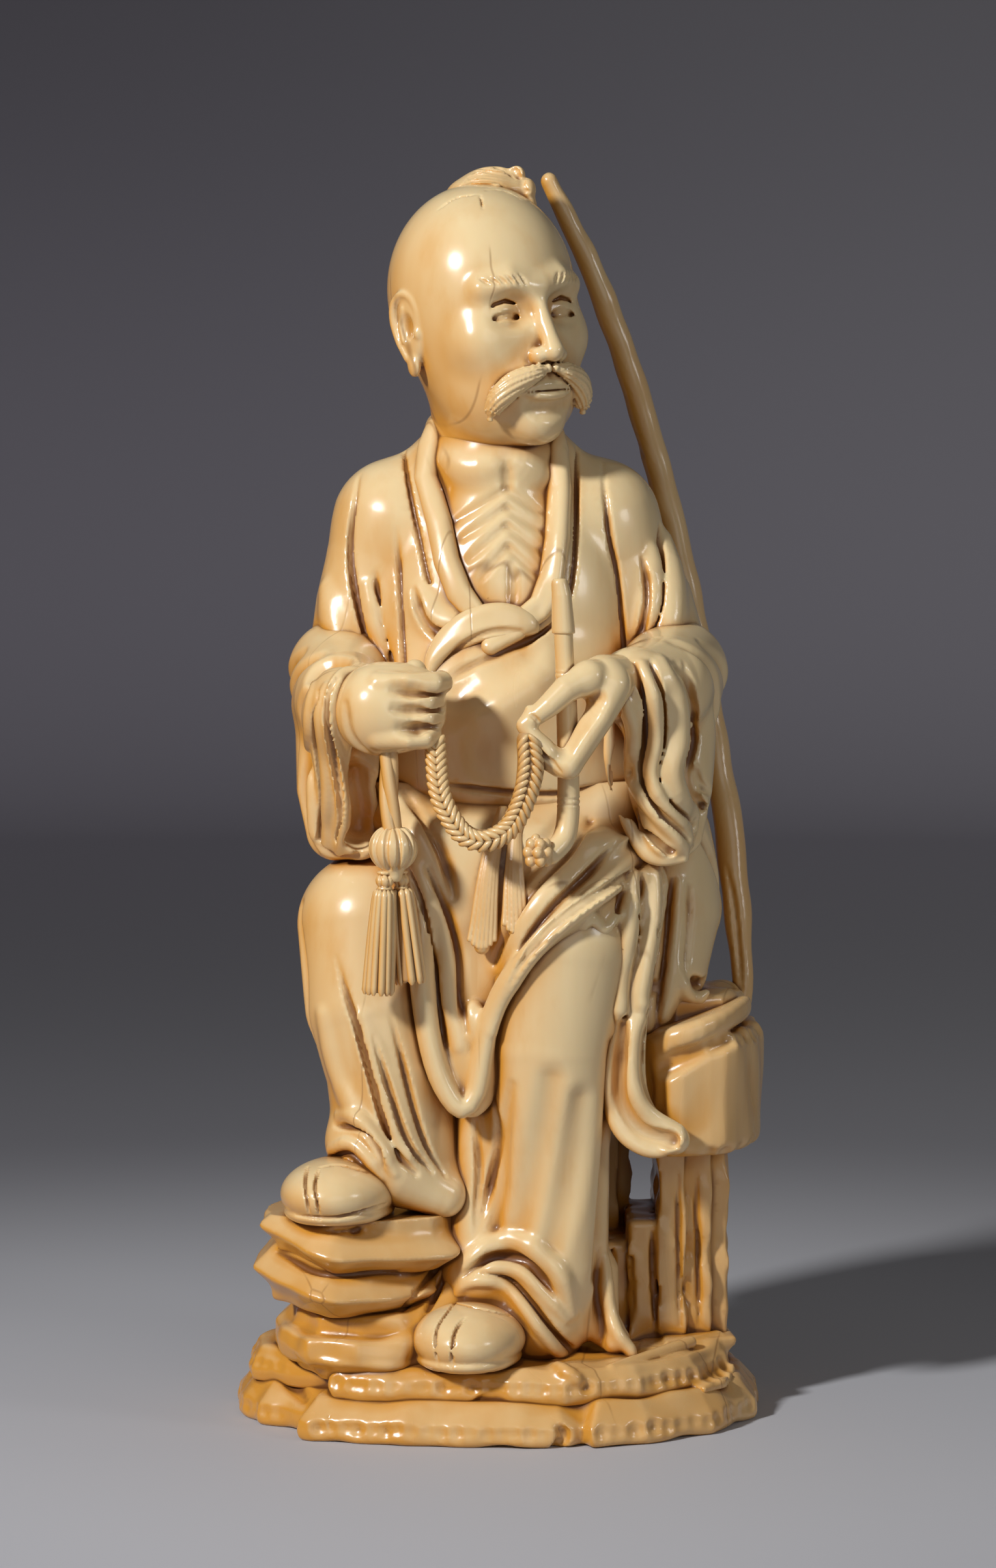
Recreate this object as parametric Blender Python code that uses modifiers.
"""Seated figure carving with a pipe, a braided cord and a carrying pole, as an assembly of carved pieces.

+X is the figure's left, -Y is the front, +Z is up, and the origin is on the table under the middle of
the rock base. Sizes are in millimetres here and become metres where a mesh is made.
"""

import math

import bmesh
import bpy
from mathutils import Euler, Matrix, Vector

MM = 0.001

# Fit between neighbouring pieces
GAP = 0.3

# Rock: its width and depth on the table, and the thickness of each layer, from the table up
BASE_WIDTH = 115.0
BASE_DEPTH = 96.0
BASE_THICKNESS = 9.0
TERRACE_THICKNESS = 6.5
STEP_LOWER_THICKNESS = 10.5
STEP_MIDDLE_THICKNESS = 10.0
STEP_UPPER_THICKNESS = 9.5
ROCK_EDGE_ROUNDING = 1.2
STEP_EDGE_ROUNDING = 2.6
LEDGE_THICKNESS = 26.0
LEDGE_CAP_THICKNESS = 9.0
COLUMN_HEIGHT = 42.0
SEAT_DROP = 42.0
SEAT_HALF_WIDTH = 27.0
SEAT_HALF_DEPTH = 19.0
SEAT_GROOVE_DEPTH = 2.2
SEAT_GROOVE_COUNT = 18

# Shoes
SHOE_SOLE_THICKNESS = 2.8
SHOE_UPPER_HEIGHT = 10.0
SHOE_HALF_WIDTH = 12.0
SHOE_HALF_LENGTH = 16.0

# Body: the waist seam above the terrace, and the heights above and below that seam
WAIST_RISE = 122.0
POLE_RISE = 131.0
PANEL_DROP = 69.0
TAIL_DROP = 75.5
HIP_HALF_WIDTH = 39.0
HIP_HALF_DEPTH = 28.0
THIGH_RADIUS = 18.0
HEM_RADIUS = 3.4
BACK_FOLD_RADIUS = 5.0
BACK_FOLD_RELIEF = 2.3
SHOULDER_RISE = 58.0
SHOULDER_HALF_SPAN = 22.0
SHOULDER_RADIUS = 13.5
LAPEL_HALF_WIDTH = 2.9
CHEST_HALF_WIDTH = 31.0
CHEST_HALF_DEPTH = 23.0
WRIST_RISE = 17.5

# Head, turned towards the figure's left
HEAD_RISE = 100.0
HEAD_HALF_WIDTH = 19.0
HEAD_TURN_DEG = 35.0
NECK_RADIUS = 11.0
TENON_RADIUS = 7.5
TENON_LENGTH = 12.0

# Things held in the hands
FIST_HALF_HEIGHT = 9.0
CORD_RADIUS = 2.2
CORD_DROP = 19.0
TASSEL_CORD_RADIUS = 1.5
BEAD_RADIUS = 5.1
BEAD_LOBE_DEPTH = 0.4
BEAD_LOBE_COUNT = 8
BEAD_SIDE_COUNT = 32
BEAD_RING_COUNT = 8
COLLAR_RADIUS = 1.8
TASSEL_LENGTH = 21.0
TASSEL_TOP_RADIUS = 2.1
TASSEL_END_RADIUS = 3.1
PIPE_RADIUS = 2.2
PIPE_BORE_RADIUS = 1.1
MOUTHPIECE_LENGTH = 10.5
STEM_RISE = 13.0
STEM_DROP = 27.0
BOWL_RADIUS = 3.1

# Carrying pole behind the figure's left shoulder
POLE_RADIUS = 3.0

# Dowels hidden in the joints
DOWEL_RADIUS = 3.5
DOWEL_DEPTH = 14.0

# Levels that follow from the sizes above
base_top = BASE_THICKNESS
terrace_bottom = base_top + GAP
terrace_top = terrace_bottom + TERRACE_THICKNESS
step_lower_bottom = terrace_top + GAP
step_middle_bottom = step_lower_bottom + STEP_LOWER_THICKNESS + GAP
step_upper_bottom = step_middle_bottom + STEP_MIDDLE_THICKNESS + GAP
step_top = step_upper_bottom + STEP_UPPER_THICKNESS
column_bottom = terrace_top + GAP
ledge_bottom = column_bottom + COLUMN_HEIGHT + GAP
ledge_top = ledge_bottom + LEDGE_THICKNESS
cap_bottom = ledge_top + GAP
waist = terrace_top + WAIST_RISE
seat_top = waist - SEAT_DROP
shoulder = waist + SHOULDER_RISE
wrist = waist + WRIST_RISE
head_centre = Vector((-3.0, -3.0, waist + HEAD_RISE))

collection = None
cutters = None


def clear_scene():
    for old in list(bpy.data.objects):
        bpy.data.objects.remove(old, do_unlink=True)


def new_collection(name):
    made = bpy.data.collections.new(name)
    bpy.context.scene.collection.children.link(made)
    return made


def ivory(name, colour, roughness):
    """A polished ivory finish."""
    material = bpy.data.materials.new(name)
    material.use_nodes = True
    shader = material.node_tree.nodes["Principled BSDF"]
    shader.inputs["Base Color"].default_value = (*colour, 1.0)
    shader.inputs["Roughness"].default_value = roughness
    shader.inputs["Metallic"].default_value = 0.0
    return material


class Clay:
    """Overlapping balls and limbs in one mesh, which the voxel remesh makes into one smooth solid."""

    def __init__(self, turn=None):
        self.mesh = bmesh.new()
        self.turn = turn or Matrix.Identity(4)

    def ball(self, centre, radii, tilt=(0.0, 0.0, 0.0), segments=20):
        turn = Euler([math.radians(a) for a in tilt]).to_matrix().to_4x4()
        place = self.turn @ Matrix.Translation(Vector(centre)) @ turn @ Matrix.Diagonal((*radii, 1.0))
        bmesh.ops.create_uvsphere(
            self.mesh, u_segments=segments, v_segments=segments // 2 + 2, radius=1.0, matrix=place
        )
        return self

    def limb(self, stations, segments=16):
        """A chain of round sections: each station is (x, y, z, radius)."""
        for x, y, z, radius in stations:
            self.ball((x, y, z), (radius, radius, radius), segments=segments)
        for first, second in zip(stations, stations[1:]):
            start, end = Vector(first[:3]), Vector(second[:3])
            along = end - start
            if along.length < 1e-6:
                continue
            place = (
                self.turn
                @ Matrix.Translation((start + end) / 2)
                @ along.to_track_quat("Z", "Y").to_matrix().to_4x4()
            )
            bmesh.ops.create_cone(
                self.mesh,
                cap_ends=True,
                segments=segments,
                radius1=first[3],
                radius2=second[3],
                depth=along.length,
                matrix=place,
            )
        return self

    def slab(self, outline, low, high, axis="Z"):
        """A prism on a flat outline, between two heights along an axis."""
        points = [Vector((a, b, low)) if axis == "Z" else Vector((a, low, b)) for a, b in outline]
        ring = [self.mesh.verts.new(self.turn @ p) for p in points]
        face = self.mesh.faces.new(ring)
        lift = Vector((0, 0, high - low)) if axis == "Z" else Vector((0, high - low, 0))
        grown = bmesh.ops.extrude_face_region(self.mesh, geom=[face])
        moved = [item for item in grown["geom"] if isinstance(item, bmesh.types.BMVert)]
        bmesh.ops.translate(self.mesh, vec=self.turn.to_3x3() @ lift, verts=moved)
        bmesh.ops.recalc_face_normals(self.mesh, faces=self.mesh.faces[:])
        return self

    def build(self, name, material, voxel=1.6, smooth=6, triangles=1200):
        """One closed, smoothed and thinned solid."""
        made = link_mesh(name, self.mesh, material)
        fuse = made.modifiers.new("fuse", "REMESH")
        fuse.mode = "VOXEL"
        fuse.voxel_size = voxel * MM
        soften = made.modifiers.new("soften", "SMOOTH")
        soften.factor = 0.5
        soften.iterations = smooth
        apply_modifiers(made)
        keep_main_body(made)
        thin = made.modifiers.new("thin", "DECIMATE")
        made.data.calc_loop_triangles()
        thin.ratio = min(1.0, triangles / len(made.data.loop_triangles))
        apply_modifiers(made)
        keep_main_body(made)
        return made


def link_mesh(name, source, material):
    """An object from a bmesh in millimetres."""
    data = bpy.data.meshes.new(name)
    bmesh.ops.scale(source, vec=(MM, MM, MM), verts=source.verts[:])
    source.to_mesh(data)
    source.free()
    if material:
        data.materials.append(material)
    made = bpy.data.objects.new(name, data)
    collection.objects.link(made)
    return made


def apply_modifiers(obj):
    """Replaces the object's mesh with its evaluated one."""
    graph = bpy.context.evaluated_depsgraph_get()
    data = bpy.data.meshes.new_from_object(obj.evaluated_get(graph))
    obj.modifiers.clear()
    old = obj.data
    obj.data = data
    obj.data.name = obj.name
    bpy.data.meshes.remove(old)


def keep_main_body(obj):
    """Drops the offcuts of a cut, keeping the body with the largest volume."""
    work = bmesh.new()
    work.from_mesh(obj.data)
    bmesh.ops.remove_doubles(work, verts=work.verts[:], dist=1e-6)
    unseen = set(work.faces)
    bodies = []
    while unseen:
        body, queue = set(), [unseen.pop()]
        while queue:
            face = queue.pop()
            body.add(face)
            for edge in face.edges:
                for other in edge.link_faces:
                    if other in unseen:
                        unseen.remove(other)
                        queue.append(other)
        bodies.append(body)
    if len(bodies) > 1:
        bodies.sort(key=enclosed_volume)
        offcuts = [face for body in bodies[:-1] for face in body]
        bmesh.ops.delete(work, geom=offcuts, context="FACES")
    work.to_mesh(obj.data)
    work.free()


def enclosed_volume(faces):
    total = 0.0
    for face in faces:
        corners = [vertex.co for vertex in face.verts]
        for second, third in zip(corners[1:], corners[2:]):
            total += corners[0].dot(second.cross(third))
    return abs(total)


uncut = {}


def keep_uncut_forms():
    """Keeps each piece's form from before the seats are cut, since seats are cut with the whole form."""
    for piece in collection.objects:
        uncut[piece.name] = piece.data.copy()


def as_cutter(obj, clearance=GAP):
    """A hidden copy of a piece, grown by the clearance, which cuts its seat in a neighbour."""
    copy = bpy.data.objects.new("seat_for_" + obj.name, uncut[obj.name].copy())
    cutters.objects.link(copy)
    work = bmesh.new()
    work.from_mesh(copy.data)
    work.normal_update()
    for vertex in work.verts:
        vertex.co += vertex.normal * (clearance * MM * vertex.calc_shell_factor())
    work.to_mesh(copy.data)
    work.free()
    copy.hide_render = True
    copy.display_type = "WIRE"
    return copy


def seat(piece, *neighbours, clearance=GAP):
    """Cuts the piece back so that it fits round its neighbours with the clearance."""
    for neighbour in neighbours:
        cut = piece.modifiers.new("seat_" + neighbour.name, "BOOLEAN")
        cut.operation = "DIFFERENCE"
        cut.object = as_cutter(neighbour, clearance)
        apply_modifiers(piece)
    keep_main_body(piece)
    return piece


def box_cutter(low, high):
    work = bmesh.new()
    bmesh.ops.create_cube(work, size=1.0)
    size = Vector(high) - Vector(low)
    bmesh.ops.scale(work, vec=size, verts=work.verts[:])
    bmesh.ops.translate(work, vec=(Vector(high) + Vector(low)) / 2, verts=work.verts[:])
    made = link_mesh("trim_box", work, None)
    collection.objects.unlink(made)
    cutters.objects.link(made)
    made.hide_render = True
    made.display_type = "WIRE"
    return made


FAR = 200.0


def trim(piece, below=None, above=None, behind=None):
    """Planes off what lies below, above or behind a level."""
    boxes = []
    if below is not None:
        boxes.append(box_cutter((-FAR, -FAR, below - FAR), (FAR, FAR, below)))
    if above is not None:
        boxes.append(box_cutter((-FAR, -FAR, above), (FAR, FAR, above + FAR)))
    if behind is not None:
        boxes.append(box_cutter((-FAR, behind, -FAR), (FAR, behind + FAR, 2 * FAR)))
    for box in boxes:
        cut = piece.modifiers.new("trim", "BOOLEAN")
        cut.operation = "DIFFERENCE"
        cut.object = box
        apply_modifiers(piece)
    keep_main_body(piece)
    return piece


def rock_slab(name, outline, low, high, material, rounding=ROCK_EDGE_ROUNDING):
    """A flat stratum of rock on a plan outline, with its rim rounded."""
    plan = [(a * BASE_WIDTH / 200, b * BASE_DEPTH / 200) for a, b in outline]
    clay = Clay()
    clay.slab(plan, low, high)
    made = link_mesh(name, clay.mesh, material)
    edge = made.modifiers.new("rim", "BEVEL")
    edge.width = rounding * MM
    edge.segments = 1
    edge.limit_method = "ANGLE"
    edge.angle_limit = math.radians(50)
    apply_modifiers(made)
    return made


def oval(centre, half_x, half_y, count, turn_deg=0.0):
    turn = math.radians(turn_deg)
    points = []
    for i in range(count):
        a = 2 * math.pi * i / count
        x, y = half_x * math.cos(a), half_y * math.sin(a)
        points.append(
            (
                centre[0] + x * math.cos(turn) - y * math.sin(turn),
                centre[1] + x * math.sin(turn) + y * math.cos(turn),
            )
        )
    return points


def grooved_oval(centre, half_x, half_y):
    """The seat rock's outline, with upright grooves all round it."""
    points = []
    for i in range(2 * SEAT_GROOVE_COUNT):
        a = math.pi * i / SEAT_GROOVE_COUNT
        cut = SEAT_GROOVE_DEPTH if i % 2 else 0.0
        points.append((centre[0] + (half_x - cut) * math.cos(a), centre[1] + (half_y - cut) * math.sin(a)))
    return points


def tube(name, stations, material, resolution=2):
    """A round rod along a smooth line: each station is (x, y, z, radius)."""
    curve = bpy.data.curves.new(name, "CURVE")
    curve.dimensions = "3D"
    curve.bevel_depth = MM
    curve.bevel_resolution = resolution
    curve.use_fill_caps = True
    spline = curve.splines.new("POLY")
    spline.points.add(len(stations) - 1)
    for point, (x, y, z, radius) in zip(spline.points, stations):
        point.co = (x * MM, y * MM, z * MM, 1.0)
        point.radius = radius
    line = bpy.data.objects.new(name + "_line", curve)
    collection.objects.link(line)
    graph = bpy.context.evaluated_depsgraph_get()
    data = bpy.data.meshes.new_from_object(line.evaluated_get(graph))
    bpy.data.objects.remove(line)
    work = bmesh.new()
    work.from_mesh(data)
    bmesh.ops.remove_doubles(work, verts=work.verts[:], dist=1e-6)
    bmesh.ops.recalc_face_normals(work, faces=work.faces[:])
    work.to_mesh(data)
    work.free()
    if material:
        data.materials.clear()
        data.materials.append(material)
    made = bpy.data.objects.new(name, data)
    collection.objects.link(made)
    return made


def smooth_line(stations, count):
    """Stations read evenly from a Catmull-Rom curve through the given ones."""
    points = [Vector(s) for s in stations]
    points = [2 * points[0] - points[1], *points, 2 * points[-1] - points[-2]]
    spans = len(stations) - 1
    line = []
    for i in range(count):
        t = i / (count - 1) * spans
        k = min(int(t), spans - 1)
        f = t - k
        a, b, c, d = points[k : k + 4]
        line.append(
            0.5
        * (2 * b + (c - a) * f + (2 * a - 5 * b + 4 * c - d) * f**2 + (3 * b - a - 3 * c + d) * f**3)
        )
    return [tuple(p) for p in line]


def dowel(name, x, y, middle, material):
    work = bmesh.new()
    bmesh.ops.create_cone(
        work, cap_ends=True, segments=16, radius1=DOWEL_RADIUS, radius2=DOWEL_RADIUS, depth=2 * DOWEL_DEPTH
    )
    bmesh.ops.translate(work, vec=(x, y, middle), verts=work.verts[:])
    return link_mesh(name, work, material)


def build_base(finish):
    """The ground slab, the terrace on it and the three strata under the raised foot."""
    base = rock_slab("rock_base", BASE_OUTLINE, 0.0, base_top, finish)
    terrace = rock_slab("rock_terrace", TERRACE_OUTLINE, terrace_bottom, terrace_top, finish)
    steps = []
    for name, outline, bottom, thickness, rounding in (
        ("step_rock_lower", STEP_LOWER_OUTLINE, step_lower_bottom, STEP_LOWER_THICKNESS, ROCK_EDGE_ROUNDING),
        ("step_rock_middle", STEP_MIDDLE_OUTLINE, step_middle_bottom, STEP_MIDDLE_THICKNESS, STEP_EDGE_ROUNDING),
        ("step_rock_upper", STEP_UPPER_OUTLINE, step_upper_bottom, STEP_UPPER_THICKNESS, STEP_EDGE_ROUNDING),
    ):
        steps.append(rock_slab(name, outline, bottom, bottom + thickness, finish, rounding))
    return base, terrace, *steps


# Plan outlines, in hundredths of half the base's width and depth
BASE_OUTLINE = [
    (-73, -62), (-73, -81), (-35, -94), (9, -100), (28, -98), (31, -92), (36, -98), (56, -90), (80, -69),
    (97, -35), (100, 2), (96, 38), (78, 71), (47, 92), (7, 100), (-35, 94), (-70, 73), (-90, 40),
    (-100, 4), (-99, -25), (-90, -46), (-80, -54),
]  # fmt: skip
TERRACE_OUTLINE = [
    (-64, -62), (-63, -77), (-17, -88), (24, -94), (52, -79), (75, -56), (89, -21), (89, 21), (71, 56),
    (31, 77), (-24, 77), (-63, 56), (-85, 21), (-96, -6), (-94, -31), (-80, -48),
]  # fmt: skip
STEP_LOWER_OUTLINE = [
    (-82, -54), (-66, -75), (-35, -79), (-23, -67), (-16, -33), (-21, 12), (-52, 25), (-76, 8),
    (-85, -25),
]  # fmt: skip
STEP_MIDDLE_OUTLINE = [
    (-89, -56), (-66, -88), (-38, -77), (-23, -50), (-21, 0), (-49, 21), (-76, 12), (-89, -21),
]  # fmt: skip
STEP_UPPER_OUTLINE = [
    (-87, -60), (-66, -90), (-35, -79), (-16, -62), (-14, -17), (-21, 8), (-49, 21), (-73, 12),
    (-85, -21),
]  # fmt: skip
LEDGE_OUTLINE = [
    (56, -42), (64, -50), (87, -42), (99, -8), (99, 25), (80, 50), (52, 46), (47, 0),
]  # fmt: skip
LEDGE_CAP_OUTLINE = [
    (57, -29), (66, -35), (84, -27), (92, -4), (87, 21), (66, 33), (49, 21), (49, -12),
]  # fmt: skip


def build_seat(finish):
    """The rock that the figure sits on, its side ledge and the slab lying on the ledge."""
    seat_low = Clay()
    seat_low.slab(grooved_oval((3, 18), SEAT_HALF_WIDTH, SEAT_HALF_DEPTH), column_bottom, seat_top)
    for x, y, half, depth, top in COLUMNS:
        front, back = y - depth, y + depth
        outline = [(x - half, front), (x + half, front + 2), (x + half, back), (x - half, back)]
        seat_low.slab(outline, column_bottom, min(top, COLUMN_HEIGHT) + column_bottom)
    rock = seat_low.build("seat_rock", finish, voxel=1.2, smooth=1, triangles=660)
    trim(rock, below=column_bottom, above=seat_top)
    ledge = rock_slab("rock_ledge", LEDGE_OUTLINE, ledge_bottom, ledge_top, finish, rounding=2.0)
    cap_top = cap_bottom + LEDGE_CAP_THICKNESS
    cap = rock_slab("rock_ledge_cap", LEDGE_CAP_OUTLINE, cap_bottom, cap_top, finish, rounding=2.0)
    return rock, ledge, cap


# The strata that stand upright beside the seat: x, y, half width, half depth, height
COLUMNS = [
    (26, 2, 3.5, 12, 20.0),
    (31, 2, 4.0, 14, 25.0),
    (37, 4, 3.4, 15, COLUMN_HEIGHT),
    (44, 5, 3.8, 13, COLUMN_HEIGHT),
]


def build_shoe(name, centre, turn_deg, sole_bottom, finish):
    """A soft shoe with a flat sole, as the feet are shown under the hems."""
    x, y = centre
    turn = math.radians(turn_deg)
    toe = Vector((x - 5 * math.sin(turn), y - 5 * math.cos(turn)))
    clay = Clay()
    clay.slab(
        oval((x, y), SHOE_HALF_WIDTH - 0.5, SHOE_HALF_LENGTH - 0.5, 20, -turn_deg),
        sole_bottom - 2,
        sole_bottom + SHOE_SOLE_THICKNESS,
    )
    clay.ball(
        (x, y, sole_bottom + SHOE_SOLE_THICKNESS + 1.5),
        (SHOE_HALF_WIDTH, SHOE_HALF_LENGTH, SHOE_UPPER_HEIGHT - 1.5),
        (0, 0, -turn_deg),
    )
    toe_z = sole_bottom + SHOE_SOLE_THICKNESS + 2
    clay.ball((toe.x, toe.y, toe_z), (SHOE_HALF_WIDTH * 0.9, 11, 6.5), (0, 0, -turn_deg))
    shoe = clay.build(name, finish, voxel=1.0, smooth=4, triangles=420)
    return trim(shoe, below=sole_bottom)


def build_legs(finish):
    """The wide trousers, one leg on the step and one on the terrace."""
    right = Clay()
    right.limb(
        [
            (-13, -2, waist - 20, 15.5),
            (-28, -16, waist - 30, 16),
            (-26, -19, waist - 47, 14.8),
            (-24, -21, step_top + 30, 13.2),
            (-23, -23, step_top + 15, 12.2),
        ]
    )
    right.limb([(-31, -25, step_top + 15, 6), (-22, -29, step_top + 8, 6.5), (-12, -27, step_top + 4, 5)])
    right.limb([(-18, -12, step_top + 26, 11), (-14, -18, step_top + 8, 9)])
    right_leg = right.build("right_trouser_leg", finish, voxel=1.7, triangles=640)
    trim(right_leg, below=step_top + GAP)

    left = Clay()
    left.limb(
        [
            (16, -3, waist - 24, THIGH_RADIUS - 1.5),
            (13, -20, waist - 34, THIGH_RADIUS - 0.8),
            (10.6, -21, waist - 55, 15.4),
            (10, -21, terrace_top + 44, 14.4),
            (10, -20, terrace_top + 20, 14),
            (7, -21, terrace_top + 9, 12.5),
        ]
    )
    left.limb([(19, -18, terrace_top + 14, 8), (22, -21, terrace_top + 4, 5), (27, -24, terrace_top + 3, 3)])
    left.limb([(-2, -24, terrace_top + 18, 8), (-6, -24, terrace_top + 12, 6)])
    left_leg = left.build("left_trouser_leg", finish, voxel=1.7, triangles=680)
    trim(left_leg, below=terrace_top + GAP)
    return right_leg, left_leg


# The fall of the robe behind: its form, and where its folds start and how far they run down
BACK_FALL_CENTRE = (2, 22, waist - 36)
BACK_FALL_RADII = (36, 15, 40)
BACK_FOLD_SHARES = (-0.86, -0.5, -0.14, 0.22, 0.58)
BACK_FOLD_DROPS = (14, 26, 38, 50, 62)


def back_fold_station(share, drop):
    """A point under the crest of a fold, as far across the back as the share says."""
    centre, radii = Vector(BACK_FALL_CENTRE), Vector(BACK_FALL_RADII)
    x = centre.x + share * radii.x * (0.66 + 0.004 * drop)
    z = waist - drop
    left = 1 - ((x - centre.x) / radii.x) ** 2 - ((z - centre.z) / radii.z) ** 2
    y = centre.y + radii.y * math.sqrt(max(left, 0.02))
    return x, y + BACK_FOLD_RELIEF - BACK_FOLD_RADIUS, z, BACK_FOLD_RADIUS


def build_skirt(finish):
    """The robe below the waist seam: lap, side folds, hanging tail and the fall behind."""
    clay = Clay()
    clay.ball((2, 5, waist - 14), (HIP_HALF_WIDTH, HIP_HALF_DEPTH, 20))
    clay.ball((0, -13, waist - 20), (26, 18, 20))
    clay.limb([(-19, -6, waist - 7, 17), (20, -6, waist - 7, 17)])
    clay.slab(
        [
            (-24, waist - 6), (-19, waist - 30), (-14, waist - 52), (-9, waist - PANEL_DROP * 0.97),
            (-5, waist - PANEL_DROP), (1, waist - 62), (8, waist - 46), (18, waist - 30), (28, waist - 10),
        ],
        -30.5,
        -2.0,
        axis="Y",
    )  # fmt: skip
    clay.ball((12, -18.6, waist - 28.6), (THIGH_RADIUS,) * 3)
    clay.limb(
        [
            (22, -33.5, waist - 20, HEM_RADIUS),
            (17, -36.2, waist - 24.8, HEM_RADIUS),
            (10, -37.2, waist - 30.5, HEM_RADIUS),
            (3.6, -35, waist - 37.2, HEM_RADIUS),
            (-1, -32.4, waist - 45.5, HEM_RADIUS),
            (-3, -31.6, waist - 54.5, HEM_RADIUS),
            (-4.6, -31.6, waist - PANEL_DROP * 0.93, HEM_RADIUS),
            (-8, -31.6, waist - PANEL_DROP * 0.98, HEM_RADIUS),
            (-11.8, -31.6, waist - PANEL_DROP * 0.91, HEM_RADIUS),
            (-14, -31.4, waist - 54.7, HEM_RADIUS),
            (-15.8, -31.2, waist - 42, HEM_RADIUS),
            (-16.8, -31, waist - 28, HEM_RADIUS),
            (-18, -28, waist - 12, HEM_RADIUS + 1),
        ]
    )
    clay.limb(
        [
            (34, -2, waist - 12, 12),
            (37, -3, waist - 28, 11.5),
            (36, -8, waist - 40, 9.5),
            (32.5, -12, waist - 50, 7),
        ]
    )
    clay.limb(
        [
            (27.5, -18, waist - 22, 9),
            (28, -21.5, waist - 34, 6.4),
            (27.8, -23.5, waist - 44, 4.8),
            (27, -24.8, waist - 56, 4.4),
            (27.6, -25.8, waist - TAIL_DROP * 0.87, 4.4),
            (31, -26.6, waist - TAIL_DROP * 0.96, 4.4),
            (37.6, -28, waist - TAIL_DROP, 3.2),
        ]
    )
    clay.ball(BACK_FALL_CENTRE, BACK_FALL_RADII)
    clay.ball((27, 6, waist - 24), (20.5, 20, 27))
    for share in BACK_FOLD_SHARES:
        clay.limb([back_fold_station(share, drop) for drop in BACK_FOLD_DROPS])
    skirt = clay.build("robe_skirt", finish, voxel=1.5, smooth=4, triangles=1100)
    return trim(skirt, above=waist - GAP)


def build_robe(finish):
    """The robe above the waist seam, with the upper arms."""
    clay = Clay()
    clay.ball((0, 2, waist + 34), (CHEST_HALF_WIDTH, CHEST_HALF_DEPTH, 38))
    clay.ball((0, -3, waist + 14), (CHEST_HALF_WIDTH, 25, 26))
    clay.ball((1, 1, waist + 2), (35, 27, 18))
    yoke = shoulder - 2
    right = (-SHOULDER_HALF_SPAN, 3, yoke, SHOULDER_RADIUS)
    left = (SHOULDER_HALF_SPAN - 1, 5, yoke, SHOULDER_RADIUS)
    clay.limb([right, left])
    clay.ball((-1, 3, shoulder + 10), (20, 14, 11))
    clay.limb([right, (-25.5, 2, waist + 47, 12.4), (-28, 1, waist + 38, 12), (-30, 0, waist + 26, 11.6)])
    clay.limb([left, (25.5, 5, waist + 47, 12.6), (30, 4, waist + 38, 12.6), (33.6, 3, waist + 26, 12.4)])
    robe = clay.build("robe_body", finish, voxel=1.7, triangles=880)
    return trim(robe, below=waist)


def build_lapels(finish):
    """The band that borders the open collar, crossed in front, and the fold of the sash over the cross."""
    band = LAPEL_HALF_WIDTH
    clay = Clay()
    clay.limb(
        [
            (-7, -23.4, waist + 27.8, band * 0.55),
            (-1.9, -21.8, waist + 30.3, band * 0.85),
            (3.3, -20, waist + 33.9, band * 0.95),
            (9.2, -18.3, waist + 38.8, band),
            (11.3, -16.7, waist + 44.7, band),
            (12.6, -13.9, waist + 52.9, band),
            (12.9, -8.4, shoulder + 5, band),
            (12.3, -4.6, shoulder + 13.8, band),
            (11.5, -2, shoulder + 17.3, band),
            (10.6, 5.4, shoulder + 20.2, band),
            (6.4, 11.5, shoulder + 21.8, band),
            (-1.8, 14, shoulder + 23, band),
            (-9.2, 10.8, shoulder + 21.4, band),
            (-13.2, 5.1, shoulder + 19.4, band),
            (-13.4, -1.2, shoulder + 18.4, band),
            (-14.8, -3.8, shoulder + 14.8, band),
            (-15.6, -6.8, shoulder + 7.5, band),
            (-12.8, -12.4, waist + 56.2, band),
            (-11.2, -16, waist + 48.2, band),
            (-8.5, -18, waist + 41.5, band),
            (-5, -19.6, waist + 37, band * 0.85),
            (-1.5, -21, waist + 33.4, band * 0.7),
        ]
    )
    lapels = clay.build("robe_lapels", finish, voxel=1.1, smooth=3, triangles=400)
    fold = Clay()
    fold.limb(
        [
            (-14.6, -21.2, waist + 24.6, 1.9),
            (-12.4, -21.6, waist + 29, 2.5),
            (-8.5, -21.6, waist + 32.8, 3.0),
            (-2.5, -21.2, waist + 35.5, 3.2),
            (3, -20.3, waist + 35.6, 2.8),
            (7, -19.3, waist + 34.8, 2.0),
        ]
    )
    sash = fold.build("sash_fold", finish, voxel=1.0, smooth=3, triangles=220)
    return lapels, sash


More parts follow.
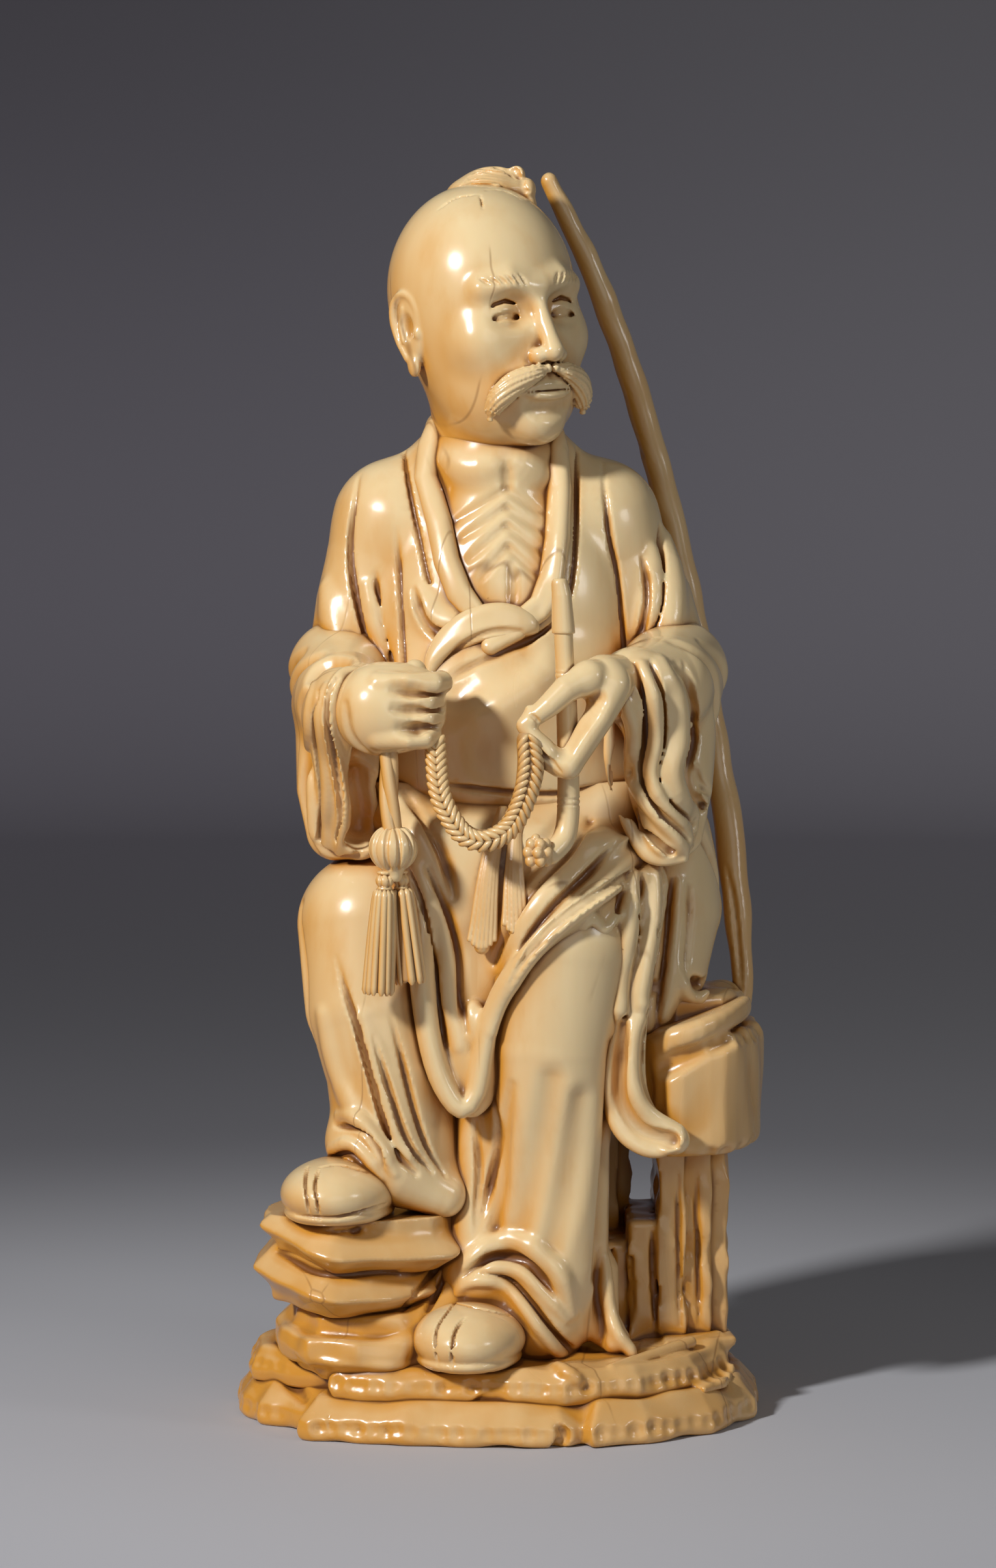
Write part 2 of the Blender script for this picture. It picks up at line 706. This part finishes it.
def build_chest(finish):
    """The bare chest in the open collar: a wedge let into the robe."""
    wedge = Clay()
    wedge.slab(
        [
            (-15.5, shoulder + 18), (-13, shoulder + 4), (-1, waist + 37), (4, waist + 37), (14, shoulder + 6),
            (14, shoulder + 18),
        ],
        -40.0,
        -8.0,
        axis="Y",
    )  # fmt: skip
    front = link_mesh("bare_chest", wedge.mesh, finish)
    body = Clay()
    body.ball((0, 1.5, waist + 36), (29, 21.5, 42))
    body.ball((-1, 0, shoulder + 8), (13, 13, 12))
    form = body.build("chest_form", finish, voxel=1.6, triangles=700)
    collection.objects.unlink(form)
    cutters.objects.link(form)
    form.hide_render = True
    form.display_type = "WIRE"
    keep = front.modifiers.new("skin", "BOOLEAN")
    keep.operation = "INTERSECT"
    keep.object = form
    apply_modifiers(front)
    keep_main_body(front)
    opening = Clay()
    opening.slab(
        [
            (-16, shoulder + 30), (-16, shoulder + 18), (-13.3, shoulder + 4), (-1.3, waist + 36.6),
            (4.3, waist + 36.6), (14.3, shoulder + 6), (14.5, shoulder + 18), (14.5, shoulder + 30),
        ],
        -42.0,
        -7.6,
        axis="Y",
    )  # fmt: skip
    recess = link_mesh("chest_opening", opening.mesh, None)
    collection.objects.unlink(recess)
    cutters.objects.link(recess)
    recess.hide_render = True
    recess.display_type = "WIRE"
    return front, recess


def build_sleeves(finish):
    """The wide sleeves, from the elbow to the cuff, with the cloth that hangs from the forearm."""
    right = Clay()
    right.limb([(-34, -3, wrist + 6, 12), (-33, -18, wrist + 1, 11), (-31, -30, wrist, 10)])
    right.limb([(-36, -12, wrist - 2, 8), (-36, -16, wrist - 18, 7.5), (-35, -18, wrist - 27, 6.5)])
    right.limb([(-33, -27, wrist - 4, 8), (-32, -25, wrist - 18, 6.5), (-30, -23, wrist - 27, 6)])
    right_sleeve = right.build("right_sleeve", finish, voxel=1.5, triangles=640)

    left = Clay()
    left.limb([(38, -1, wrist + 6, 12), (35, -18, wrist + 4, 11), (29, -29, wrist + 4, 9)])
    left.limb([(40, -9, wrist - 2, 7.5), (39, -14, wrist - 18, 7), (38, -18, wrist - 27, 6)])
    left.limb([(33, -26, wrist - 2, 7.5), (33, -26, wrist - 16, 6.5), (36, -25, wrist - 28, 5.5)])
    left_sleeve = left.build("left_sleeve", finish, voxel=1.5, triangles=680)
    return right_sleeve, left_sleeve


def build_head(finish, hair):
    """The head on its neck and tenon, with a moustache, and the topknot plugged in the crown."""
    turn = Matrix.Translation(head_centre) @ Matrix.Rotation(math.radians(HEAD_TURN_DEG), 4, "Z")
    width = HEAD_HALF_WIDTH
    clay = Clay(turn)
    clay.ball((0, 2, 6), (width, width * 1.09, 22))
    clay.ball((0, -3, -7), (width * 0.88, width * 0.85, 20))
    clay.ball((0, -11, -20), (width * 0.42, width * 0.37, 6.5))
    clay.limb([(0, -17.8, 1, 2.2), (0, -21.2, -7, 2.8)])
    clay.limb([(-8.4, -16, 5, 2.3), (8.4, -16, 5, 2.3)])
    for side in (-1, 1):
        clay.ball((side * (width + 0.3), 3, -3), (2.6, 5.2, 8), (0, side * 6, side * 14))
        clay.limb([(side * 2, -18.8, -11, 2.2), (side * 7.4, -17, -13, 2.6), (side * 11, -13.8, -18, 1.6)])
    neck = head_centre.z - (shoulder + 14)
    clay.limb([(0, 3, -14, NECK_RADIUS), (0, 3, -neck, NECK_RADIUS)])
    head = clay.build("head", finish, voxel=1.2, smooth=3, triangles=1150)
    trim(head, below=shoulder + 6)
    tenon = bmesh.new()
    bmesh.ops.create_cone(
        tenon, cap_ends=True, segments=20, radius1=TENON_RADIUS, radius2=TENON_RADIUS, depth=TENON_LENGTH + 6
    )
    at = turn @ Vector((0, 3, 0))
    low = shoulder + 6 - TENON_LENGTH
    bmesh.ops.translate(tenon, vec=(at.x, at.y, low + (TENON_LENGTH + 6) / 2), verts=tenon.verts[:])
    peg = link_mesh("neck_tenon", tenon, finish)
    join(head, peg)

    crown = head_centre + Vector((1.5, 4, 27))
    knot = Clay()
    knot.ball(crown + Vector((0, 0, 2)), (8.6, 7.2, 4.6), (0, -6, 0))
    knot.ball(crown + Vector((5.5, -1, 4)), (3.4, 3.2, 3.2))
    topknot = knot.build("topknot", hair, voxel=0.9, smooth=3, triangles=340)
    return head, topknot


def join(piece, addition):
    """Unites a second solid with the piece."""
    unite = piece.modifiers.new("unite", "BOOLEAN")
    unite.operation = "UNION"
    unite.object = addition
    apply_modifiers(piece)
    bpy.data.objects.remove(addition)
    keep_main_body(piece)
    return piece


# Where the hands hold their things
fist = Vector((-22.0, -38.0, wrist))
grip = Vector((16.0, -40.0, wrist + 3.0))


def build_hands(finish):
    """The right fist on the cord, and the left hand holding the pipe and the cord's other end."""
    right = Clay()
    right.ball(fist, (10.5, 8.0, FIST_HALF_HEIGHT + 0.5))
    spread = FIST_HALF_HEIGHT / 2
    for i in range(4):
        z = fist.z + (1.45 - i) * spread
        right.limb(
            [
                (fist.x + 4, fist.y - 5.5, z, 2.6),
                (fist.x + 10, fist.y - 4, z, 2.4),
                (fist.x + 10, fist.y + 2, z, 2.4),
            ]
        )
    right.limb([(fist.x - 4, fist.y + 2, fist.z, 8.5), (-30, -31, wrist, 7.5), (-32, -22, wrist + 1, 6)])
    right_hand = right.build("right_hand", finish, voxel=1.0, smooth=3, triangles=540)

    left = Clay()
    x, y, z = grip
    left.limb([(29, -27, wrist + 5, 6), (22, y + 3, wrist + 6, 6.0), (x + 2, y - 1, z + 3, 4.4)])
    left.limb([(x + 2, y - 2, z + 4, 3.4), (x - 5, y - 4.4, z - 1, 3.0), (x - 9.8, y - 5.2, z - 5, 2.4)])
    left.limb(
        [
            (x + 4, y + 0.5, z, 3.8),
            (x + 1, y - 2.8, z - 9, 3.5),
            (x - 3, y - 4.0, z - 15.5, 3.5),
            (x - 7, y - 4.6, z - 11, 3.0),
            (x - 10.6, y - 5.3, z - 6.5, 2.3),
        ]
    )
    left_hand = left.build("left_hand", finish, voxel=1.0, smooth=3, triangles=560)
    return right_hand, left_hand


def build_cord_and_tassel(finish):
    """The braided cord between the hands, and the bead and tassels hanging from the fist."""
    low = wrist - 8
    bend = low - CORD_DROP
    cord = tube(
        "braided_cord",
        smooth_line(
            [
                (-13.4, -40, low + 1, CORD_RADIUS * 0.9),
                (-12.6, -42, low - 8, CORD_RADIUS),
                (-10.6, -43, bend + 5.5, CORD_RADIUS),
                (-7, -43.5, bend + 1, CORD_RADIUS),
                (-2.5, -44, bend, CORD_RADIUS),
                (2, -43.6, bend + 2.5, CORD_RADIUS),
                (5, -44.2, bend + 8, CORD_RADIUS * 1.1),
                (6.6, -44.8, low - 4, CORD_RADIUS * 1.2),
                (6.2, -45.2, grip.z - 9, CORD_RADIUS * 1.1),
            ],
            26,
        ),
        finish,
    )
    drop = fist.z - FIST_HALF_HEIGHT
    bead_z = drop - 20
    string = tube(
        "tassel_cord",
        [
            (-23, -39, drop + 3, TASSEL_CORD_RADIUS),
            (-23, -39.5, drop - 7, TASSEL_CORD_RADIUS),
            (-22.5, -40, bead_z + BEAD_RADIUS - 1.5, TASSEL_CORD_RADIUS),
        ],
        finish,
    )
    bead = ribbed_bead("cord_bead", (-22.2, -40, bead_z), BEAD_RADIUS, finish)
    collar_z = bead_z - BEAD_RADIUS - COLLAR_RADIUS - GAP + 0.4
    collar = Clay()
    for x, y in TASSEL_PLACES:
        collar.ball((x, y, collar_z), (COLLAR_RADIUS + 0.1, COLLAR_RADIUS + 0.1, COLLAR_RADIUS), segments=16)
    collars = collar.build("tassel_collars", finish, voxel=0.5, smooth=1, triangles=220)
    top = collar_z - COLLAR_RADIUS - GAP + 0.3
    tassels = []
    for name, (x, y), lean, length in zip(
        ("tassel_front", "tassel_rear"), TASSEL_PLACES, (-1.6, 0.5), (TASSEL_LENGTH, TASSEL_LENGTH - 1.5)
    ):
        tassels.append(
            tube(
                name,
                [
                    (x, y, top, TASSEL_TOP_RADIUS * 0.8),
                    (x, y, top - 2, TASSEL_TOP_RADIUS),
                    (x + lean * 0.5, y, top - length / 2, (TASSEL_TOP_RADIUS + TASSEL_END_RADIUS) / 2),
                    (x + lean, y, top - length + 1.5, TASSEL_END_RADIUS),
                    (x + lean, y, top - length, TASSEL_END_RADIUS * 0.8),
                ],
                finish,
                resolution=3,
            )
        )
    return cord, string, bead, collars, tassels


TASSEL_PLACES = [(-24.0, -40.8), (-20.6, -38.6)]


def ribbed_bead(name, centre, radius, finish):
    """A melon bead: a turned ball whose girth has rounded lobes."""
    work = bmesh.new()
    bmesh.ops.create_uvsphere(work, u_segments=BEAD_SIDE_COUNT, v_segments=BEAD_RING_COUNT, radius=radius)
    for vertex in work.verts:
        angle = math.atan2(vertex.co.y, vertex.co.x)
        girth = 1 - BEAD_LOBE_DEPTH / radius * (1 - abs(math.cos(BEAD_LOBE_COUNT * angle / 2))) * 2
        vertex.co.x *= girth
        vertex.co.y *= girth
    bmesh.ops.translate(work, vec=centre, verts=work.verts[:])
    return link_mesh(name, work, finish)


def build_pipe(finish):
    """The long pipe: mouthpiece, stem and bowl."""
    x, y = grip.x - 1.5, grip.y + 0.6
    top = grip.z + STEM_RISE
    low = grip.z - STEM_DROP
    stem = tube(
        "pipe_stem",
        smooth_line(
            [
                (x - 1.0, y, top, PIPE_RADIUS * 0.95),
                (x - 0.4, y, grip.z, PIPE_RADIUS),
                (x, y, low + 12, PIPE_RADIUS * 1.05),
                (x, y, low + 4, PIPE_RADIUS * 1.08),
                (x - 1.6, y - 1.5, low - 1, PIPE_RADIUS * 1.08),
                (x - 3.6, y - 3.2, low - 3, PIPE_RADIUS),
            ],
            18,
        ),
        finish,
        resolution=3,
    )
    mouth = tube(
        "pipe_mouthpiece",
        [
            (x - 1.0, y, top + GAP, PIPE_RADIUS * 1.02),
            (x - 1.4, y, top + GAP + MOUTHPIECE_LENGTH * 0.6, PIPE_RADIUS * 0.95),
            (x - 1.8, y, top + GAP + MOUTHPIECE_LENGTH, PIPE_RADIUS * 0.8),
        ],
        finish,
        resolution=3,
    )
    bowl = Clay()
    bowl.ball((x - 6.2, y - 5.2, low - 3.4), (BOWL_RADIUS, BOWL_RADIUS, BOWL_RADIUS))
    cup = bowl.build("pipe_bowl", finish, voxel=0.6, smooth=1, triangles=260)
    return mouth, stem, cup


# Where the pole's foot stands, in hundredths of half the base's width and depth
POLE_FOOT = (94, 9)


def build_pole(finish):
    """The bent carrying pole, from beside the head down to the ledge."""
    r = POLE_RADIUS
    foot_x, foot_y = POLE_FOOT[0] * BASE_WIDTH / 200, POLE_FOOT[1] * BASE_DEPTH / 200
    line = smooth_line(
        [
            (11, 13, waist + POLE_RISE, r * 0.5),
            (19.5, 15, waist + 114, r * 0.85),
            (26.5, 17, waist + 96.5, r * 0.95),
            (32.5, 19, waist + 78, r),
            (38, 21, waist + 58, r),
            (43.5, 21, waist + 34, r),
            (47.5, 19, waist + 10, r),
            (50.5, 14.5, waist - 8, r * 1.1),
            (52.5, 10, waist - 26, r * 1.05),
            (foot_x - 0.2, foot_y + 1.7, cap_bottom + LEDGE_CAP_THICKNESS, r * 0.8),
            (foot_x, foot_y, cap_bottom + 3, r * 0.6),
        ],
        24,
    )
    return tube("carrying_pole", line, finish)


def build_sash_ends(finish):
    """The two fringed ends of the sash, lying on the lap."""
    made = []
    for name, top, bottom, width in (
        ("sash_end_right", (-2, -30.5, waist - 2), (-3.4, -33, waist - 33), 3.0),
        ("sash_end_left", (2.6, -31, waist - 4), (3.6, -35.6, waist - 29.5), 2.6),
    ):
        clay = Clay()
        for share in (0.0, 0.25, 0.5, 0.75, 1.0):
            at = Vector(top).lerp(Vector(bottom), share)
            clay.ball(at, (width * (0.6 + 0.4 * share), 1.6, 6.0), segments=14)
        made.append(clay.build(name, finish, voxel=0.8, smooth=2, triangles=240))
    return made


def build():
    global collection, cutters
    clear_scene()
    collection = new_collection("figure_carving")
    cutters = new_collection("cutters")
    rock = ivory("ivory_rock", (0.72, 0.52, 0.26), 0.3)
    cloth = ivory("ivory_cloth", (0.80, 0.66, 0.44), 0.22)
    skin = ivory("ivory_skin", (0.82, 0.68, 0.45), 0.2)
    fine = ivory("ivory_fine", (0.70, 0.55, 0.33), 0.32)

    base, terrace, lower, middle, upper = build_base(rock)
    seat_rock, ledge, cap = build_seat(rock)
    right_shoe = build_shoe("right_shoe", (-34, -29), 16, step_top + GAP, cloth)
    left_shoe = build_shoe("left_shoe", (-4.5, -32), 6, terrace_top + GAP, cloth)
    right_leg, left_leg = build_legs(cloth)
    skirt = build_skirt(cloth)
    robe = build_robe(cloth)
    lapels, sash = build_lapels(cloth)
    chest, chest_opening = build_chest(skin)
    right_sleeve, left_sleeve = build_sleeves(cloth)
    head, topknot = build_head(skin, fine)
    right_hand, left_hand = build_hands(skin)
    cord, string, bead, collars, tassels = build_cord_and_tassel(fine)
    mouth, stem, bowl = build_pipe(cloth)
    pole = build_pole(cloth)
    sash_ends = build_sash_ends(fine)
    waist_dowel = dowel("waist_dowel", 2, 6, waist, skin)
    seat_dowel = dowel("seat_dowel", 3, 22, seat_top, skin)
    right_dowel = dowel("base_dowel_right", -30, -8, base_top + 13, skin)
    left_dowel = dowel("base_dowel_left", 14, 20, base_top + 8, skin)

    cut_opening(robe, chest_opening)
    keep_uncut_forms()
    for piece in (base, terrace, lower, middle):
        seat(piece, right_dowel)
    for piece in (base, terrace):
        seat(piece, left_dowel)
    for piece in (lower, middle, upper):
        seat(piece, left_shoe)
    seat(left_leg, left_shoe, lower, middle, upper, waist_dowel)
    seat(right_leg, right_shoe, left_leg, waist_dowel)
    seat(seat_rock, left_leg, right_leg, lower, middle, upper, seat_dowel, left_dowel)
    seat(ledge, seat_rock)
    seat(cap, ledge, pole)
    seat(skirt, left_leg, right_leg, seat_rock, cap, ledge, pole, waist_dowel, seat_dowel)
    seat(sash, left_hand, stem)
    seat(lapels, head, sash)
    seat(robe, head, lapels, sash, pole, waist_dowel)
    seat(chest, head, lapels, sash)
    seat(topknot, head)
    seat(right_sleeve, robe, skirt, right_leg, right_hand)
    seat(left_sleeve, robe, skirt, left_leg, left_hand, pole)
    seat(right_hand, robe, cord, string)
    seat(left_hand, robe, cord, stem)
    seat(bead, string)
    seat(collars, bead)
    seat(tassels[0], collars, right_leg)
    seat(tassels[1], collars, tassels[0], right_leg)
    seat(bowl, stem)
    seat(sash_ends[0], skirt, robe, left_leg)
    seat(sash_ends[1], skirt, robe, left_leg, sash_ends[0])
    for piece in collection.objects:
        piece.data.set_sharp_from_angle(angle=math.radians(40))


def cut_opening(piece, opening):
    cut = piece.modifiers.new("opening", "BOOLEAN")
    cut.operation = "DIFFERENCE"
    cut.object = opening
    apply_modifiers(piece)
    keep_main_body(piece)


build()
